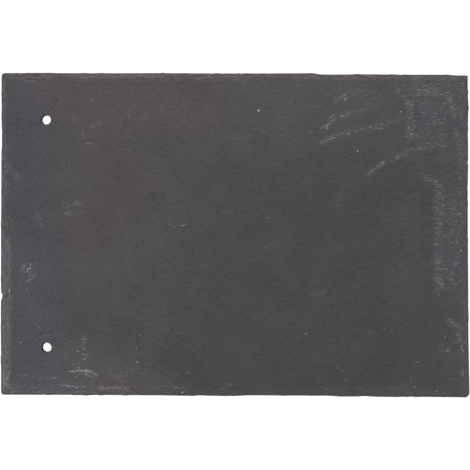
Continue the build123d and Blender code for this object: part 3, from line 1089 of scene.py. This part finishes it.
@dataclass
class SlateMesh:
    """Gathers the points and faces of the slate while it is made."""

    points: list[Array] = field(default_factory=list)
    faces: list[tuple[int, ...]] = field(default_factory=list)
    flat: list[bool] = field(default_factory=list)
    broken: list[Array] = field(default_factory=list)
    painted_shade: list[Array] = field(default_factory=list)
    count: int = 0
    same_point: float = 1e-7
    hole_slack: float = 0.985

    def add(self, points: Array, broken: float, painted_shade: float = 0.0) -> Array:
        """Add points.

        Args:
            points: their places.
            broken: 1 for points of the dressed edge, 0 for points of a riven face.
            painted_shade: how much painted shade darkens them, from 0 to 1.

        Returns:
            Their numbers.
        """
        numbers = np.arange(self.count, self.count + len(points))
        self.points.append(points)
        self.broken.append(np.full(len(points), broken))
        self.painted_shade.append(np.full(len(points), painted_shade))
        self.count += len(points)
        return numbers

    def bridge(self, lower: Array, upper: Array, flat: bool) -> None:
        """Join two rings of as many points with a band of faces.

        Args:
            lower: the numbers of the ring that lies lower, anticlockwise from above.
            upper: the numbers of the ring over it.
            flat: whether each face of the band is its own flat facet.
        """
        next_lower = np.roll(lower, -1)
        next_upper = np.roll(upper, -1)
        band = np.column_stack([lower, next_lower, next_upper, upper])
        self.faces.extend(map(tuple, band.tolist()))
        self.flat.extend([flat] * len(band))

    def fill(self, rim: Array, holes: list[Array], loose: Array, upwards: bool) -> None:
        """Cover the ground inside a rim and outside its holes with triangles.

        Args:
            rim: the numbers of the outer ring.
            holes: the numbers of each hole's ring.
            loose: the numbers of the points between them.
            upwards: whether the triangles look up.
        """
        places = np.vstack(self.points)
        numbers = np.concatenate([rim, *holes, loose])
        flat_places = places[numbers][:, :2]
        loops = []
        start = 0
        for ring in (rim, *holes):
            loops.append(list(range(start, start + len(ring))))
            start += len(ring)
        found = delaunay_2d_cdt(flat_places.tolist(), [], loops, 1, self.same_point)
        source = np.array([origin[0] for origin in found[3]])
        triangles = source[np.array(found[2])]
        middles = flat_places[triangles].mean(axis=1)
        keep = np.ones(len(triangles), bool)
        for loop in loops[1:]:
            ring = flat_places[loop]
            centre = ring.mean(axis=0)
            angles = np.arctan2(*(ring - centre).T[::-1])
            order = np.argsort(angles)
            radii = np.linalg.norm(ring - centre, axis=1)[order]
            middle_angles = np.arctan2(*(middles - centre).T[::-1])
            rim_radius = np.interp(middle_angles, angles[order], radii, period=2 * math.pi)
            keep &= np.linalg.norm(middles - centre, axis=1) > self.hole_slack * rim_radius
        triangles = numbers[triangles[keep]]
        if not upwards:
            triangles = triangles[:, ::-1]
        self.faces.extend(map(tuple, triangles.tolist()))
        self.flat.extend([False] * len(triangles))


@dataclass(frozen=True)
class RivenSlate:
    """Natural slate, split along its cleavage by hand.

    The split follows sheets of fine mica, so the face is dark, a little silky and finely rippled
    along the grain. Rubbed crests turn pale and powdery. Where the knife has broken the sheets
    across, the stone is rough, paler and browner, in thin stacked lines.
    """

    ground: str = "#434144"
    plum_wash: str = "#FFEEF3"
    blue_wash: str = "#F3F3FF"
    olive_wash: str = "#F9FBE8"
    rubbed: str = "#7E7C7E"
    chalk: str = "#ABA9AB"
    rust: str = "#847B7A"
    # Dark spots, painted shade on the nail-hole walls, and painted shadow along opened cleavage
    dirt_and_shade: str = "#242223"
    broken_olive: str = "#5A5856"
    broken_plum: str = "#595657"
    ior: float = 1.5
    specular_level: float = 0.20
    roughness: float = 0.62
    powder_roughness: float = 0.85
    # The finest ripples are 0.3 to 0.5 mm apart, too close to show, so they are drawn at 1.4 mm,
    # with longer strands of mica between them.
    crest_pitch: float = 1.4
    crest_length: float = 2.5
    crest_height: float = 0.03
    # The crests are painted lighter and the hollows darker: partly the stone's own tone, partly painted
    # light and shade on the ripples.
    crest_shade: Ends = (0.73, 1.27)
    strand_pitch: float = 1.0
    strand_length: float = 6.0
    strands: float = 0.50
    # Where the face is rubbed, short scratches run along the grain.
    scratch_pitch: float = 0.75
    scratch_length: float = 3.4
    between_scratches: float = 0.25
    # By the head the split left small round dimples instead.
    dimple_size: float = 1.9
    # The stone's own grit is under 0.1 mm, too fine to show, so it is drawn at 0.8 mm.
    grit: float = 0.8
    grit_height: float = 0.010
    grit_shade: Ends = (0.93, 1.07)
    # Clouds of slightly darker and lighter stone lie under it all.
    cloud_pitch: float = 22.0
    cloud_shade: Ends = (0.91, 1.09)
    # The broken edge shows the sheets as stacked lines, from olive to plum.
    sheet_pitch: float = 0.30
    sheet_squeeze: float = 0.06
    sheet_shade: Ends = (0.60, 1.36)
    tint_size: float = 5.0
    # Wear is patchy. It lays a thin haze over the stone, and powder on its crests.
    wear: float = 0.04
    haze: float = 0.20
    patch_size: float = 4.5
    least_patch: float = 0.65
    chalk_grit: float = 0.3
    rub_softness: float = 0.55
    chalk_softness: float = 0.60
    rust_softness: float = 0.60
    dirt_and_shade_softness: float = 0.40
    # Paler marks lift the stone's tone; along the lower side and the tail they are painted light.
    paler: float = 1.35
    darker: float = 0.80

    def material(self) -> bpy.types.Material:
        """Build the stone's material.

        Returns:
            The material, which reads the marks and the grain kept on the mesh.
        """
        material = bpy.data.materials.new("riven_slate")
        nodes = NodeWork.afresh(material)
        marks = {kind: nodes.kept(kind.value) for kind in MarkKind}
        place = nodes.add("ShaderNodeTexCoord").outputs["Object"]
        grain = nodes.kept("grain", "Vector")
        grit = nodes.even_bumps(place, self.grit, 2.0)
        crest = self.crests(nodes, place, grain)
        colour = self.bare(nodes, place, marks)
        colour = nodes.shade(colour, grit, self.grit_shade)
        # Painted light and shade on the ripples, together with their own tone
        colour = nodes.shade(colour, crest, self.crest_shade)
        colour = nodes.shade(colour, marks[PALER], (1.0, self.paler))
        colour = nodes.shade(colour, marks[DARKER], (1.0, self.darker))

        patch = nodes.even_bumps(place, self.patch_size, 1.0)
        patchy = nodes.ranged(patch, wanted=(self.least_patch, 1.0))
        worn = nodes.joined("MULTIPLY", nodes.joined("ADD", marks[RUB], self.wear), patchy)
        scratches = nodes.bumps(grain, (self.scratch_length, self.scratch_pitch, 1.0), 1.0)
        hollow = nodes.ranged(worn, wanted=(1.0, 1.0 - self.between_scratches))
        colour = nodes.shade(colour, scratches, (hollow, 1.0))
        rub = nodes.powdered(worn, scratches, self.rub_softness)
        even_grit = nodes.ranged(grit, wanted=(self.chalk_grit, 1.0))
        for code, cover in (
            (self.rubbed, nodes.joined("MULTIPLY", worn, self.haze)),
            (self.rubbed, rub),
            (self.chalk, nodes.powdered(marks[CHALK], even_grit, self.chalk_softness)),
            (self.rust, nodes.powdered(marks[RUST], grit, self.rust_softness)),
            (self.dirt_and_shade, nodes.powdered(marks[DIRT_AND_SHADE], grit, self.dirt_and_shade_softness)),
        ):
            colour = nodes.blend(colour, srgb(code), cover)

        powder = nodes.joined("MAXIMUM", rub, marks[BRUISED])
        relief = nodes.relief(None, grit, self.grit_height)
        relief = nodes.relief(relief, crest, self.crest_height)
        inputs = {
            "Base Color": colour,
            "Roughness": nodes.ranged(powder, wanted=(self.roughness, self.powder_roughness)),
            "IOR": self.ior,
            "Specular IOR Level": self.specular_level,
            "Normal": relief,
        }
        shader = nodes.add("ShaderNodeBsdfPrincipled", inputs)
        nodes.add("ShaderNodeOutputMaterial", {"Surface": shader.outputs["BSDF"]})
        return material

    def crests(self, nodes: NodeWork, place: Socket, grain: Socket) -> Socket:
        """The fine relief of the split: drawn-out ripples, or dimples where they aren't drawn out.

        Args:
            nodes: the material's nodes.
            place: the place on the object.
            grain: the place along and across the grain.

        Returns:
            A socket from 0 in the hollows to 1 on the crests.
        """
        ripples = nodes.bumps(grain, (self.crest_length, self.crest_pitch, 1.0), 2.0)
        strands = nodes.bumps(grain, (self.strand_length, self.strand_pitch, 1.0), 1.0)
        dimples = nodes.even_bumps(place, self.dimple_size, 2.0)
        return nodes.mixed(nodes.kept("streak"), dimples, nodes.mixed(self.strands, ripples, strands))

    def bare(self, nodes: NodeWork, place: Socket, marks: dict[MarkKind, Socket]) -> Socket:
        """Colour of the bare stone, broken or riven, with its broad tints and its clouds.

        Args:
            nodes: the material's nodes.
            place: the place on the object.
            marks: the strength of each kind of mark.

        Returns:
            The colour.
        """
        flat = self.sheet_pitch * MM / self.sheet_squeeze
        sheets = nodes.bumps(place, (flat, flat, self.sheet_pitch * MM), 2.0)
        tint = nodes.even_bumps(place, self.tint_size, 1.0)
        broken = nodes.blend(srgb(self.broken_olive), srgb(self.broken_plum), tint)
        broken = nodes.shade(broken, sheets, self.sheet_shade)
        colour = nodes.blend(srgb(self.ground), broken, marks[BRUISED])
        for kind, wash in ((PLUM, self.plum_wash), (BLUE, self.blue_wash), (OLIVE, self.olive_wash)):
            colour = nodes.blend(colour, srgb(wash), marks[kind], "MULTIPLY")
        return nodes.shade(colour, nodes.even_bumps(place, self.cloud_pitch, 3.0), self.cloud_shade)


@dataclass
class Slate:
    """The whole slate: its faces, its dressed edge and its two nail holes, as one mesh."""

    outline: SlateOutline = SlateOutline()
    face: RivenFace = RivenFace()
    back: RivenBack = RivenBack()
    dressing: KnifeDressing = KnifeDressing()
    holes: tuple[NailHole, ...] = (
        NailHole(x=-129.3, y=78.05, spall_turn=40.0, lip_turn=165.0),
        NailHole(x=-128.0, y=-77.4, spall_turn=215.0, lip_turn=190.0),
    )
    finish: RivenSlate = RivenSlate()
    crest_broken: float = 0.55
    face_pitch: float = 1.25
    face_seed: int = 71
    back_pitch: float = 3.4
    back_seed: int = 72
    shift: float = 0.16
    widest_gap: float = 1.6
    clear_of_edges: float = 0.75
    clear_of_holes: float = 0.2
    # Fine points lie closer together, over a little more than the width of a fine mark.
    mark_pitch: float = 0.5
    mark_seed: int = 73
    mark_shift: float = 0.15
    fine_mark: float = 4.0
    fine_reach: float = 0.6
    least_gap: float = 0.6
    search_reach: float = 4.0

    def loose_points(self, pitch: float, rings: list[Array], seed: int) -> Array:
        """Points spread over a face, clear of its rings.

        Args:
            pitch: distance between neighbours.
            rings: the outer ring and the hole rings.
            seed: which set of small shifts keeps them from lining up.

        Returns:
            The points' places in plan.
        """
        low = rings[0].min(axis=0)[:2]
        high = rings[0].max(axis=0)[:2]
        rows = np.arange(low[1], high[1], pitch * math.sqrt(0.75))
        columns = np.arange(low[0], high[0], pitch)
        x = columns[None, :] + (np.arange(len(rows)) % 2)[:, None] * pitch / 2
        y = np.repeat(rows[:, None], len(columns), axis=1)
        spots = np.column_stack([x.ravel(), y.ravel()])
        spots += np.random.default_rng(seed).uniform(-self.shift, self.shift, spots.shape) * pitch
        spots = spots[self.inside(spots, rings[0][:, :2])]
        gap = self.clear_of_edges * min(pitch, self.widest_gap)
        for ring in rings:
            spots = spots[self.distance(spots, ring[:, :2]) > gap]
        for hole in self.holes:
            away = np.hypot(spots[:, 0] - hole.x, spots[:, 1] - hole.y)
            ring = min(rings[1:], key=lambda r: abs(r[:, 1].mean() - hole.y))
            reach = np.hypot(ring[:, 0] - hole.x, ring[:, 1] - hole.y).max()
            spots = spots[away > reach + self.clear_of_holes]
        return spots

    def refined(self, spots: Array, rings: list[Array]) -> Array:
        """Put more points under the fine marks, so that the marks come out crisp.

        Args:
            spots: the evenly spread points.
            rings: the outer ring and the hole rings.

        Returns:
            The points, closer together under each fine mark.
        """
        low = rings[0].min(axis=0)[:2]
        high = rings[0].max(axis=0)[:2]
        fine = [mark for mark in MARKS if mark.width < self.fine_mark]
        chance = np.random.default_rng(self.mark_seed)
        close: list[Array] = []
        for path, width in ((path, mark.width) for mark in fine for path in mark.paths):
            stops = np.reshape(path, (-1, 2))
            start = np.maximum(stops.min(axis=0) - width, low)
            end = np.minimum(stops.max(axis=0) + width, high)
            reach = self.fine_reach * width
            x, y = np.meshgrid(*(np.arange(a, b, self.mark_pitch) for a, b in zip(start, end)))
            near = np.column_stack([x.ravel(), y.ravel()])
            near += chance.uniform(-self.mark_shift, self.mark_shift, near.shape) * self.mark_pitch
            near = near[off_path(path, *near.T) < reach]
            for other in close:
                near = near[self.distance(near, other) > self.least_gap * self.mark_pitch]
            spots = spots[off_path(path, *spots.T) > reach + self.mark_pitch / 2]
            close.append(near)
        fine_spots = np.vstack(close)
        fine_spots = fine_spots[self.inside(fine_spots, rings[0][:, :2])]
        for ring in rings:
            fine_spots = fine_spots[self.distance(fine_spots, ring[:, :2]) > self.mark_pitch]
        return np.vstack([spots, fine_spots])

    @staticmethod
    def inside(spots: Array, ring: Array) -> Array:
        """Find the spots that lie inside a ring.

        Args:
            spots: the spots' places in plan.
            ring: the ring's points in plan.

        Returns:
            True for each spot inside.
        """
        result = np.zeros(len(spots), bool)
        x, y = spots.T
        for (x0, y0), (x1, y1) in zip(ring, np.roll(ring, -1, axis=0)):
            if y0 == y1:
                continue
            crosses = (y0 > y) != (y1 > y)
            result ^= crosses & (x < (x1 - x0) * (y - y0) / (y1 - y0) + x0)
        return result

    def distance(self, spots: Array, ring: Array) -> Array:
        """How far each spot is from the nearest point of a ring.

        Args:
            spots: the spots' places in plan.
            ring: the ring's points in plan.

        Returns:
            The distance of each spot that is near, and infinity for the others.
        """
        result = np.full(len(spots), np.inf)
        for place in ring:
            near = np.abs(spots - place).max(axis=1) < self.search_reach
            away = np.hypot(*(spots[near] - place).T)
            result[near] = np.minimum(result[near], away)
        return result

    def build(self) -> bpy.types.Object:
        """Make the slate's mesh and give it its finish.

        Returns:
            The slate, riding on the root body in place of the solid one.
        """
        mesh = SlateMesh()
        stations = self.outline.stations()
        rows = self.dressing.rows(stations, self.face, self.back)
        edge = [mesh.add(row, 1.0) for row in rows]
        for lower, upper in zip(edge, edge[1:]):
            mesh.bridge(lower, upper, flat=True)
        mesh.broken[-1][:] = self.crest_broken

        face_rims = []
        back_rims = []
        face_rings = [rows[-1]]
        back_rings = [rows[0]]
        for hole in self.holes:
            rings = hole.rings(self.face, self.back)
            walls = range(1, hole.wall_rows + 1)
            # The walls take painted shade, as if little light reached into the hole.
            painted_shades = [hole.wall_painted_shade * (number in walls) for number in range(len(rings))]
            numbers = [mesh.add(ring, 0.0, painted_shade) for ring, painted_shade in zip(rings, painted_shades)]
            for number, (upper, lower) in enumerate(zip(numbers, numbers[1:])):
                mesh.bridge(upper, lower, flat=number == 0 or number > hole.wall_rows)
            face_rims.append(numbers[0])
            back_rims.append(numbers[-1])
            face_rings.append(rings[0])
            back_rings.append(rings[-1])

        spots = self.loose_points(self.face_pitch, face_rings, self.face_seed)
        spots = self.refined(spots, face_rings)
        height = self.face.height(spots[:, 0], spots[:, 1])
        loose = mesh.add(np.column_stack([spots, height]), 0.0)
        mesh.fill(edge[-1], face_rims, loose, upwards=True)

        spots = self.loose_points(self.back_pitch, back_rings, self.back_seed)
        height = self.back.height(spots[:, 0], spots[:, 1])
        loose = mesh.add(np.column_stack([spots, height]), 0.0)
        mesh.fill(edge[0], back_rims, loose, upwards=False)

        piece = self.as_object(mesh)
        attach(piece, "root")
        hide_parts("slate")
        return piece

    def as_object(self, made: SlateMesh) -> bpy.types.Object:
        """Turn the gathered points and faces into an object with its marks and its material.

        Args:
            made: the finished points and faces.

        Returns:
            The object, linked to the scene.
        """
        points = np.vstack(made.points)
        mesh = bpy.data.meshes.new("slate_tile")
        mesh.from_pydata((points * MM).tolist(), [], made.faces)
        mesh.polygons.foreach_set("use_smooth", [not flat for flat in made.flat])
        x, y, z = points.T
        on_top = z > 0.5 * self.face.thickness
        values: dict[str, Array] = {"broken": np.concatenate(made.broken)}
        for kind in MarkKind:
            values.setdefault(kind.value, np.zeros(len(points)))
        for mark in MARKS:
            cover = mark.cover(x, y)
            if mark.kind not in BROAD_KINDS:
                cover = cover * on_top
            values[mark.kind.value] = np.maximum(values[mark.kind.value], cover)
        # The painted shade of the hole walls is added to the dark spots.
        values[DIRT_AND_SHADE.value] += np.concatenate(made.painted_shade)
        values["streak"] = self.face.cleavage.streak(x, y)
        for name, value in values.items():
            attribute = mesh.attributes.new(name, "FLOAT", "POINT")
            attribute.data.foreach_set("value", value.astype(np.float32))
        along, across = self.face.cleavage.grain(x, y)
        grain = mesh.attributes.new("grain", "FLOAT_VECTOR", "POINT")
        grain.data.foreach_set("vector", np.column_stack([along, across, z]).astype(np.float32).ravel())
        mesh.materials.append(self.finish.material())
        return linked("slate_tile", mesh)


@dataclass(frozen=True)
class PaperFloor:
    """White studio paper, lit from the camera's side so that only the slate's shadow tones it."""

    size_m: float = 6.0
    drop: float = 0.05
    glow: float = 0.87
    paper: str = "#8A8A8A"

    def build(self) -> bpy.types.Object:
        """Make the floor.

        Returns:
            The floor, which isn't part of the slate.
        """
        half = self.size_m / 2
        level = -self.drop * MM
        corners = [(-half, -half, level), (half, -half, level), (half, half, level), (-half, half, level)]
        mesh = bpy.data.meshes.new("paper_floor")
        mesh.from_pydata(corners, [], [(0, 1, 2, 3)])
        material = bpy.data.materials.new("white_paper")
        nodes = NodeWork.afresh(material)
        seen = nodes.add("ShaderNodeLightPath").outputs["Is Camera Ray"]
        strength = nodes.joined("MULTIPLY", seen, self.glow)
        glow = nodes.add("ShaderNodeEmission", {"Strength": strength})
        paper = nodes.add("ShaderNodeBsdfDiffuse", {"Color": srgb(self.paper)})
        inputs = {"Shader": glow.outputs["Emission"], "Shader_001": paper.outputs["BSDF"]}
        both = nodes.add("ShaderNodeAddShader", inputs)
        nodes.add("ShaderNodeOutputMaterial", {"Surface": both.outputs["Shader"]})
        mesh.materials.append(material)
        floor = linked("paper_floor", mesh)
        return floor


@dataclass(frozen=True)
class StudioLight:
    """One large soft lamp from the upper left, and an even fill from all round."""

    lamp_place_m: tuple[float, float, float] = (-0.60, 0.53, 1.06)
    lamp_size_m: float = 0.9
    lamp_power: float = 6.4
    fill: float = 0.72
    sky: str = "#FFFFFF"

    def build(self) -> bpy.types.Object:
        """Make the lamp and the world.

        Returns:
            The lamp.
        """
        data = bpy.data.lights.new("soft_lamp", "AREA")
        data.shape = "SQUARE"
        data.size = self.lamp_size_m
        data.energy = self.lamp_power
        lamp = linked("soft_lamp", data)
        lamp.location = self.lamp_place_m
        lamp.rotation_euler = (-lamp.location).to_track_quat("-Z", "Y").to_euler()

        world = bpy.data.worlds.new("studio")
        nodes = NodeWork.afresh(world)
        path = nodes.add("ShaderNodeLightPath").outputs
        shown = path["Is Camera Ray"]
        for name in ("Is Glossy Ray", "Is Transmission Ray"):
            shown = nodes.joined("MAXIMUM", shown, path[name])
        strength = nodes.ranged(shown, wanted=(self.fill, 1.0))
        inputs = {"Color": srgb(self.sky), "Strength": strength}
        sky = nodes.add("ShaderNodeBackground", inputs)
        nodes.add("ShaderNodeOutputWorld", {"Surface": sky.outputs["Background"]})
        bpy.context.scene.world = world
        return lamp


@dataclass(frozen=True)
class OverheadCamera:
    """A camera straight above the slate, turned a little as the slate lies in the picture."""

    height_m: float = 0.80
    seen_width: float = 321.85
    aim: tuple[float, float] = (0.07, 0.07)
    seen_at_height: float = 0.6
    turn_degrees: float = 0.32
    sensor: float = 36.0

    def build(self) -> bpy.types.Object:
        """Make the camera and set it as the scene's own.

        Returns:
            The camera.
        """
        data = bpy.data.cameras.new("overhead")
        data.sensor_width = self.sensor
        above = self.height_m / MM - self.seen_at_height
        data.lens = self.sensor * above / self.seen_width
        camera = linked("overhead", data)
        camera.location = (self.aim[0] * MM, self.aim[1] * MM, self.height_m)
        camera.rotation_euler = (0.0, 0.0, math.radians(self.turn_degrees))
        bpy.context.scene.camera = camera
        return camera


def main() -> None:
    """Build the slate and its studio, and report each piece."""
    logging.basicConfig(level=logging.INFO, format="%(message)s")
    slate = Slate().build()
    LOG.info("%s: %d faces", slate.name, len(slate.data.polygons))
    floor = PaperFloor().build()
    LOG.info("%s", floor.name)
    lamp = StudioLight().build()
    LOG.info("%s", lamp.name)
    camera = OverheadCamera().build()
    LOG.info("%s", camera.name)
    bpy.context.scene.view_settings.view_transform = "Standard"
    bpy.context.view_layer.update()


if __name__ == "__main__":
    main()
